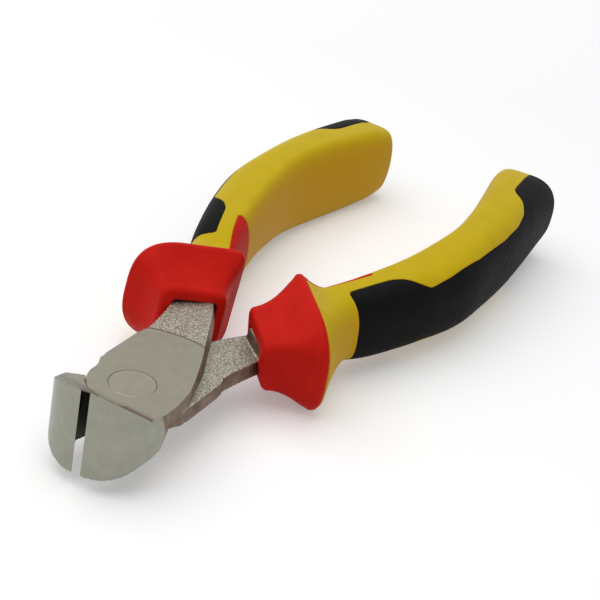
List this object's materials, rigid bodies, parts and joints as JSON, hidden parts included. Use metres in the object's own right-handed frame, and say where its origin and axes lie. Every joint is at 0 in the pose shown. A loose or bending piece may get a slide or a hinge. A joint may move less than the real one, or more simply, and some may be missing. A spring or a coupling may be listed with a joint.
{
  "type": "end cutting pliers",
  "caption": "End cutting pliers with a lap joint, curved jaws whose edges meet across the nose, and moulded red, yellow and black handles flared into finger guards.",
  "frame": {"origin": "on the pivot axis, at the ground upper face of the joint", "axes": "+Z along the pivot axis, up through the joint; +X from the pivot towards the handles, with the jaws at -X; +Y to the left handle"},
  "size_m": [0.1274, 0.0524, 0.0181],
  "materials": {
    "steel": "satin ground joint and jaws, pebbled as-forged shanks",
    "rivet_steel": "satin, ground flush",
    "red_plastic": "smooth satin moulding",
    "yellow_plastic": "smooth satin moulding",
    "black_rubber": "fine matt grain"
  },
  "bodies": {
    "upper": {"upper_lever": "steel", "pivot_rivet": "rivet_steel", "left_guard_sleeve": "red_plastic", "left_grip": "yellow_plastic", "left_inlay": "black_rubber"},
    "lower": {"lower_lever": "steel", "right_guard_sleeve": "red_plastic", "right_grip": "yellow_plastic", "right_inlay": "black_rubber"}
  },
  "joints": [
    {"name": "jaw_pivot", "type": "hinge", "parent": "upper", "child": "lower", "pos_m": [0, 0, 0], "axis": [0, 0, 1], "range_deg": [-30, 6]}
  ]
}
